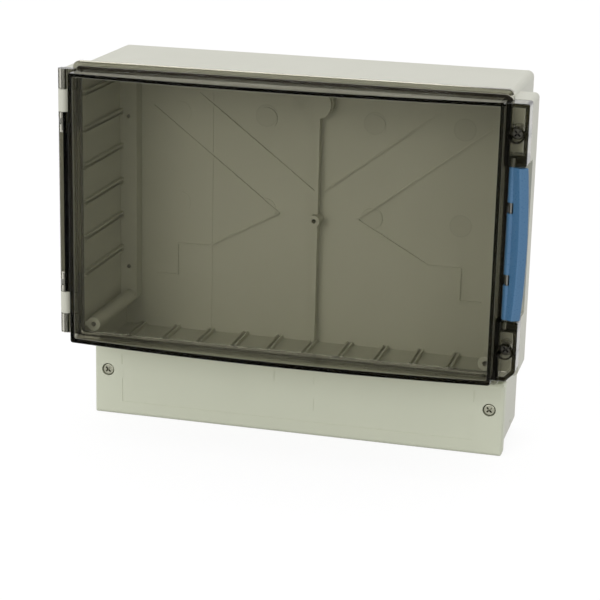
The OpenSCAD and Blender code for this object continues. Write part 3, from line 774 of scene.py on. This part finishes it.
        def box(name: str, x: Span, d: Span, rise: Span, cut: float) -> bpy.types.Object:
            """Makes a block between two rises, with its outer corner cut on the lower lug."""
            low, high = sorted((level(rise[0]), level(rise[1])))
            obj = Bench.block(name, x, d, (low, high))
            if side is Side.LOWER:
                Bench.soften(obj, cut, lambda e: runs(e, Axis.Y) and lies(e, Axis.X, x[1])
                             and lies(e, Axis.Z, level(rise[1])), 1)
            return obj

        inner, outer = self.lug_x
        back = self.back + self.lug_back_in
        lug = box("lug", self.lug_x, (back, self.lug_front), (self.lug_near, self.lug_far), self.lug_cut)
        Bench.soften(lug, self.lug_edge, lambda e: turns(e) and not lies(e, Axis.X, inner)
                     and (lies(e, Axis.Y, -self.lug_front)
                          or (runs(e, Axis.Y) and lies(e, Axis.X, outer))), 4)
        room = box("room", (self.rim_half[0] + self.room_in, outer - self.lug_wall),
                   (self.back - 2 * OVER, self.lug_front - self.lug_face),
                   (self.lug_near + self.pin_wall, self.lug_far - self.lug_wall),
                   self.lug_cut - self.lug_wall * (2 - math.sqrt(2)))
        Bench.soften(room, self.room_edge, lambda e: lies(e, Axis.Y, self.lug_face - self.lug_front), 2)
        Bench.merge(lug, room, Merge.CUT)
        z = level(self.screw_rise)
        tube = (back, self.ring_front)
        ring = Bench.rod("ring", (self.screw_x, sum(tube) / 2, z), self.ring, tube[1] - tube[0], Axis.Y, 48)
        Bench.soften(ring, self.ring_edge, lambda e: lies(e, Axis.Y, -self.ring_front), 2)
        Bench.merge(lug, ring, Merge.ADD)
        for radius, span in ((self.head_room, (self.rim_front, self.lug_front + 2 * OVER)),
                             (self.shank_room, (self.back - 2 * OVER, self.lug_front)),
                             (self.washer_room, (self.back - 2 * OVER, self.washer_front))):
            hole = Bench.rod("hole", (self.screw_x, sum(span) / 2, z), radius, span[1] - span[0], Axis.Y, 40)
            Bench.merge(lug, hole, Merge.CUT)
        pin_middle = level(self.lug_near + self.latch_pin_in / 2 - OVER)
        pin = Bench.rod("pin", (*self.latch, pin_middle), self.latch_pin, self.latch_pin_in + 2 * OVER,
                        Axis.Z, 24)
        Bench.merge(lug, pin, Merge.CUT)
        return lug

    def build(self) -> bpy.types.Object:
        """Models the whole cover.

        Returns:
            The cover, a closed solid.
        """
        half = (self.half_width, self.half_height)
        ahead = self.front + 5 * OVER
        cover = self.bowed("window", half, (self.back + self.window_in, ahead), self.corner, 0, self.edge)
        Bench.merge(cover, self.rim(), Merge.ADD)
        self.knuckles(cover)
        for side in Side:
            Bench.merge(cover, self.lock_lug(side), Merge.ADD)
        inside = (self.half_width - self.wall, self.half_height - self.wall)
        hollow = self.bowed("hollow", inside, (self.back - 2 * OVER, ahead), self.corner / 2, self.panel,
                            self.hollow_edge)
        Bench.merge(cover, hollow, Merge.CUT)
        room = self.seal_room
        groove = self.frame_ring("groove", tuple(v + room for v in self.seal_half),
                                 self.seal_width + 2 * room,
                                 (self.back - 2 * OVER, self.seal_front + room), self.groove_corner)
        Bench.merge(cover, groove, Merge.CUT)
        Bench.finish(cover)
        return cover

    def dress(self) -> bpy.types.Object:
        """Builds the cover, gives it its finish and sets it on its body.

        Returns:
            The cover.
        """
        cover = self.build()
        cover.data.materials.clear()
        cover.data.materials.append(COVER_POLYCARBONATE.material())
        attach(cover, "window")
        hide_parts("window_cover")
        return cover


@dataclass
class SideLatch:
    """The blue latch: a bowed lever with a ridge, on a barrel, with two hooks."""

    middle: float = 29.25
    half_length: float = 47.5
    pivot: Span = (142.0, 98.0)
    barrel: float = 2.4
    barrel_edge: float = 0.4
    bore: float = 1.3
    lever_from: Span = (143.2, 99.8)
    ridge: Span = (148.6, 103.0)
    ridge_edge: float = 0.8
    grip: Span = (153.19, 99.9)
    grip_edge: float = 0.9
    end_edge: float = 0.8
    bow: float = 1.9
    slices: int = 24
    hook_x: Span = (144.7, 147.5)
    hook_d: Span = (78.5, 99.25)
    hook_rise: float = 30.0
    hook_half: float = 10.0
    hook_edge: float = 0.8
    notch_x: float = 143.625
    notch_rise: float = 22.4
    notch_half: float = 3.4
    notch_reach: float = 4.0
    notch_edge: float = 0.5

    def slope(self, lever: bpy.types.Object, start: Span, end: Span) -> None:
        """Cuts the lever's front off along a slope between two points of its section.

        Args:
            lever: The lever.
            start: X and depth where the slope begins.
            end: X and depth where it ends, to the right of the start.
        """
        run = Vector((end[0] - start[0], end[1] - start[1])).normalized()
        Bench.take(lever)
        bpy.ops.object.mode_set(mode="EDIT")
        bpy.ops.mesh.select_all(action="SELECT")
        bpy.ops.mesh.bisect(plane_co=(start[0] * MM, -start[1] * MM, 0), plane_no=(-run.y, -run.x, 0),
                            use_fill=True, clear_outer=True)
        bpy.ops.object.mode_set(mode="OBJECT")

    def bend(self, lever: bpy.types.Object) -> None:
        """Slices the lever along its length and draws the slices back towards its ends.

        Args:
            lever: The lever.
        """
        Bench.take(lever)
        bpy.ops.object.mode_set(mode="EDIT")
        for k in range(1, self.slices):
            z = self.middle + self.half_length * (2 * k / self.slices - 1)
            bpy.ops.mesh.select_all(action="SELECT")
            bpy.ops.mesh.bisect(plane_co=(0, 0, z * MM), plane_no=(0, 0, 1))
        bpy.ops.object.mode_set(mode="OBJECT")
        levels = sorted({round(v.co.z / MM, 4) for v in lever.data.vertices})
        bpy.ops.object.mode_set(mode="EDIT")
        bpy.ops.mesh.select_mode(type="VERT")
        for z in levels:
            bpy.ops.mesh.select_all(action="DESELECT")
            mesh = bmesh.from_edit_mesh(lever.data)
            for vert in mesh.verts:
                vert.select_set(abs(vert.co.z / MM - z) < 0.001)
            mesh.select_flush_mode()
            bmesh.update_edit_mesh(lever.data)
            back = self.bow * ((z - self.middle) / self.half_length) ** 2
            bpy.ops.transform.translate(value=(-back * MM, 0, 0))
        bpy.ops.object.mode_set(mode="OBJECT")

    def build(self) -> bpy.types.Object:
        """Models the latch.

        Returns:
            The latch, a closed solid.
        """
        x, d = self.pivot
        low, high = self.middle - self.half_length, self.middle + self.half_length
        lever = Bench.block("latch_lever", (self.lever_from[0], self.grip[0]),
                            (d, self.ridge[1] + 2 * OVER), (low, high))
        self.slope(lever, self.lever_from, self.ridge)
        self.slope(lever, self.ridge, self.grip)
        Bench.soften(lever, self.grip_edge, lambda e: runs(e, Axis.Z) and lies(e, Axis.X, self.grip[0]), 5)
        Bench.soften(lever, self.ridge_edge, lambda e: runs(e, Axis.Z) and lies(e, Axis.Y, -self.ridge[1]), 4)
        Bench.soften(lever, self.end_edge, lambda e: (lies(e, Axis.Z, low) or lies(e, Axis.Z, high))
                     and turns(e, 60) and not lies(e, Axis.X, self.lever_from[0]), 4)
        self.bend(lever)
        barrel = Bench.rod("barrel", (x, d, self.middle), self.barrel, high - low, Axis.Z, 40)
        Bench.soften(barrel, self.barrel_edge, lambda e: turns(e, 60), 2)
        Bench.merge(lever, barrel, Merge.ADD)
        for side in Side:
            z = self.middle + side.value * self.hook_rise
            hook = Bench.block("hook", self.hook_x, self.hook_d, (z - self.hook_half, z + self.hook_half))
            Bench.soften(hook, self.hook_edge, lambda e: lies(e, Axis.Y, -self.hook_d[0]), 3)
            Bench.merge(lever, hook, Merge.ADD)
        bore = Bench.rod("bore", (x, d, self.middle), self.bore, 2 * self.half_length + 2 * OVER, Axis.Z, 24)
        Bench.merge(lever, bore, Merge.CUT)
        for side in Side:
            z = self.middle + side.value * self.notch_rise
            reach = self.notch_reach
            notch = Bench.block("notch", (x - reach, self.notch_x), (d - reach, d + reach),
                                (z - self.notch_half, z + self.notch_half))
            Bench.soften(notch, self.notch_edge, lambda e: lies(e, Axis.X, self.notch_x), 2)
            Bench.merge(lever, notch, Merge.CUT)
        Bench.finish(lever)
        return lever

    def dress(self) -> bpy.types.Object:
        """Builds the latch, gives it its finish and sets it on its body.

        Returns:
            The latch.
        """
        latch = self.build()
        latch.data.materials.clear()
        latch.data.materials.append(LATCH_ACETAL.material())
        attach(latch, "latch")
        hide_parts("latch")
        return latch


@dataclass
class CrossScrews:
    """The four cross-recess screws: one is modelled and copied to each place."""

    head: float = 3.9
    head_height: float = 2.8
    shank: float = 2.0
    root: float = 1.68
    pitch: float = 0.7
    length: float = 16.0
    tip: float = 1.4
    plain: float = 2.2
    cross_length: float = 4.9
    cross_width: float = 1.15
    cross_depth: float = 2.2
    cross_over: float = 0.4
    cross_taper: float = 0.55
    neck: Span = (-0.3, 1.8)
    foot_edge: float = 0.25
    crown: tuple[Span, ...] = ((0.9, 0.0), (0.45, 0.16), (0.15, 0.5), (0.0, 1.0))
    places: tuple[tuple[str, str, float, float, float], ...] = (
        ("lock_screw_upper", "lock_steel", 143.2, 93.5, 96.55),
        ("lock_screw_lower", "lock_steel", 143.2, 93.5, -38.05),
        ("terminal_screw_left", "screw_steel", -129.6, 55.4, -92.0),
        ("terminal_screw_right", "screw_steel", 129.6, 55.4, -92.0),
    )

    def profile(self) -> list[tuple[float, float]]:
        """Lists the turned profile.

        Returns:
            Level above the seat and radius of each ring, from the tip to the head's crown.
        """
        rings = [(-self.length, self.tip), (-self.length + 0.5, self.root)]
        turns_cut = int((self.length - self.plain - 0.6) / self.pitch)
        for k in range(turns_cut):
            level = -self.length + 0.6 + k * self.pitch
            rings += [(level + 0.5 * self.pitch, self.shank), (level + 0.95 * self.pitch, self.root)]
        rings += [self.neck, (0.0, self.head - self.foot_edge), (self.foot_edge, self.head)]
        return rings + [(self.head_height - drop, self.head - inset) for drop, inset in self.crown]

    def cross(self) -> bpy.types.Object:
        """Makes the tapered cross that presses the recess.

        Returns:
            The cross, with its foot at the recess's floor.
        """
        arms = []
        middle = self.head_height + self.cross_over / 2 - self.cross_depth / 2
        size = Vector((self.cross_length, self.cross_width, self.cross_depth + self.cross_over))
        for turn in (45, 135):
            Bench.clear()
            bpy.ops.mesh.primitive_cube_add(size=1, rotation=(0, 0, math.radians(turn)), scale=size * MM,
                                            location=(0, 0, middle * MM))
            arm = Bench.settle("arm")
            floor = min(v.co.z for v in arm.data.vertices)
            Bench.pick(arm, lambda e, f=floor: all(abs(v.co.z - f) < 1e-6 for v in e.verts))
            bpy.ops.transform.resize(value=(self.cross_taper, self.cross_taper, 1),
                                     center_override=(0, 0, floor))
            bpy.ops.object.mode_set(mode="OBJECT")
            arms.append(arm)
        Bench.merge(arms[0], arms[1], Merge.ADD)
        return arms[0]

    def build(self) -> bpy.types.Object:
        """Models one screw with its head towards -Y and its seat at the origin.

        Returns:
            The screw, a closed solid.
        """
        screw = Bench.turned("screw", self.profile())
        Bench.merge(screw, self.cross(), Merge.CUT)
        Bench.finish(screw, 38)
        screw.data.transform(Matrix.Rotation(math.pi / 2, 4, "X"))
        return screw

    def dress(self) -> list[bpy.types.Object]:
        """Builds the screws, gives them their finish and sets each on its body.

        Returns:
            The four screws.
        """
        pattern = self.build()
        pattern.data.materials.clear()
        finishes = {"lock_steel": LOCK_STEEL.material(), "screw_steel": SCREW_ZINC.material()}
        made = []
        for body, slot, x, d, z in self.places:
            place = Matrix.Translation(Vector((x, -d, z)) * MM)
            screw = Bench.copy(pattern, body + "_turned", place)
            screw.data.materials.append(finishes[slot])
            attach(screw, body)
            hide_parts(body)
            made.append(screw)
        mesh = pattern.data
        bpy.data.objects.remove(pattern)
        bpy.data.meshes.remove(mesh)
        return made


@dataclass
class Mouldings:
    """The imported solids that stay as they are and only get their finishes."""

    slots: tuple[tuple[str, Any], ...] = (
        ("base_grey", BASE_ABS),
        ("terminal_grey", TERMINAL_ABS),
        ("seal_foam", SEAL_FOAM),
        ("pin_steel", PIN_STEEL),
        ("washer_nylon", WASHER_NYLON),
        ("insert_brass", INSERT_BRASS),
    )

    def dress(self) -> list[bpy.types.Object]:
        """Gives each solid that is left the finish of its material slot.

        Returns:
            The dressed solids.
        """
        finishes = {slot: finish.material() for slot, finish in self.slots}
        dressed = []
        for part in frame["record"]["subparts"]:
            finish = finishes.get(part["material_slot"])
            node = frame["nodes"][part["node"]]
            if finish is None:
                continue
            if not node.material_slots:
                node.data.materials.append(finish)
            for place in node.material_slots:
                place.material = finish
            dressed.append(node)
        return dressed


@dataclass(frozen=True)
class Lamp:
    """A square soft lamp: its place and side in metres and its power in watts."""

    name: str
    place: Triple
    side: float
    power: float


@dataclass
class Studio:
    """The pale floor, soft lamps, white surround and camera."""

    floor_level: float = -123.2
    floor_half: float = 9000.0
    floor_grey: Triple = (0.5, 0.5, 0.49)
    floor_shadow: float = 0.16
    floor_glow: float = 0.88
    eye: Triple = (0.29543, -1.20323, 0.31773)
    right: Triple = (0.96691, 0.25412, 0.02248)
    up: Triple = (-0.09274, 0.26804, 0.95893)
    back: Triple = (0.23766, -0.92929, 0.28274)
    lens: float = 114.0
    ambient: float = 0.78
    heart: Triple = (0.0, -0.05, 0.0)
    lamps: tuple[Lamp, ...] = (
        Lamp("key", (-0.65, -1.95, 0.7), 0.9, 11.5),
        Lamp("right", (1.15, -1.8, 0.5), 0.6, 3.5),
        Lamp("top", (-0.3, 0.2, 2.0), 2.2, 3),
    )

    def seen(self, tree: bpy.types.NodeTree) -> bpy.types.NodeSocket:
        """Adds the test for rays that show the surround to the eye.

        Args:
            tree: The tree that gets the nodes.

        Returns:
            A socket that is 1 for camera, glossy and transmission rays that light no dull surface.
        """
        rays = add_node(tree, "ShaderNodeLightPath")
        some = add_node(tree, "ShaderNodeMath", {0: rays.outputs["Is Camera Ray"],
                                                 1: rays.outputs["Is Glossy Ray"]}, operation="MAXIMUM")
        each = add_node(tree, "ShaderNodeMath", {0: some.outputs[0], 1: rays.outputs["Is Transmission Ray"]},
                        operation="MAXIMUM")
        direct = add_node(tree, "ShaderNodeMath", {0: rays.outputs["Diffuse Depth"], 1: 0.5},
                          operation="LESS_THAN")
        both = add_node(tree, "ShaderNodeMath", {0: each.outputs[0], 1: direct.outputs[0]},
                        operation="MULTIPLY")
        return both.outputs[0]

    def floor(self) -> bpy.types.Object:
        """Lays a white floor that shows the shadow softly.

        Returns:
            The floor.
        """
        Bench.clear()
        bpy.ops.mesh.primitive_plane_add(size=2 * self.floor_half * MM,
                                         location=(0, 0, self.floor_level * MM))
        floor = Bench.settle("floor")
        made = new_material("paper_white")
        tree = made.node_tree
        shadow = self.floor_shadow
        plain = add_node(tree, "ShaderNodeBsdfDiffuse", {"Color": (*self.floor_grey, 1)})
        faint = add_node(tree, "ShaderNodeBsdfDiffuse", {"Color": (shadow, shadow, shadow, 1)})
        glow = add_node(tree, "ShaderNodeEmission", {"Color": (1, 1, 1, 1), "Strength": self.floor_glow})
        paper = add_node(tree, "ShaderNodeAddShader", {0: faint.outputs["BSDF"], 1: glow.outputs["Emission"]})
        both = add_node(tree, "ShaderNodeMixShader", {"Fac": self.seen(tree), 1: plain.outputs["BSDF"],
                                                      2: paper.outputs["Shader"]})
        add_node(tree, "ShaderNodeOutputMaterial", {"Surface": both.outputs["Shader"]})
        floor.data.materials.append(made)
        return floor

    def surround(self) -> None:
        """Sets a world that lights softly and looks white."""
        world = bpy.data.worlds.new("studio")
        bpy.context.scene.world = world
        world.use_nodes = True
        tree = world.node_tree
        tree.nodes.clear()
        soft = add_node(tree, "ShaderNodeBackground", {"Color": (1, 1, 1, 1), "Strength": self.ambient})
        white = add_node(tree, "ShaderNodeBackground", {"Color": (1, 1, 1, 1), "Strength": 1.0})
        both = add_node(tree, "ShaderNodeMixShader", {"Fac": self.seen(tree), 1: soft.outputs["Background"],
                                                      2: white.outputs["Background"]})
        add_node(tree, "ShaderNodeOutputWorld", {"Surface": both.outputs["Shader"]})

    def hang(self, lamp: Lamp) -> bpy.types.Object:
        """Hangs a lamp that points at the heart of the object.

        Args:
            lamp: The lamp's place, side and power.

        Returns:
            The light.
        """
        Bench.clear()
        bpy.ops.object.light_add(type="AREA", location=lamp.place)
        light = bpy.context.object
        light.name = lamp.name
        light.data.size = lamp.side
        light.data.energy = lamp.power
        aim = Vector(self.heart) - Vector(lamp.place)
        light.rotation_euler = aim.to_track_quat("-Z", "Y").to_euler()
        return light

    def camera(self) -> bpy.types.Object:
        """Sets the camera at the photograph's viewing angle.

        Returns:
            The camera.
        """
        Bench.clear()
        bpy.ops.object.camera_add()
        camera = bpy.context.object
        axes = Matrix((self.right, self.up, self.back)).transposed().to_4x4()
        camera.matrix_world = Matrix.Translation(self.eye) @ axes
        camera.data.lens = self.lens
        camera.data.sensor_width = 36.0
        camera.data.clip_start = 0.05
        camera.data.clip_end = 40.0
        bpy.context.scene.camera = camera
        return camera

    def build(self) -> None:
        """Sets up the floor, surround, lamps and camera."""
        bpy.context.scene.view_settings.view_transform = "Standard"
        self.floor()
        self.surround()
        for lamp in self.lamps:
            self.hang(lamp)
        self.camera()


def main() -> None:
    """Builds the pieces in order and reports each of them."""
    logging.basicConfig(level=logging.INFO, format="%(name)s: %(message)s")
    for node in Mouldings().dress():
        LOG.info("dressed %s", node.name)
    for maker in (WindowCover(), SideLatch()):
        piece = maker.dress()
        LOG.info("built %s with %d faces", piece.name, len(piece.data.polygons))
    for screw in CrossScrews().dress():
        LOG.info("built %s with %d faces", screw.name, len(screw.data.polygons))
    Studio().build()
    Bench.clear()


if __name__ == "__main__":
    main()
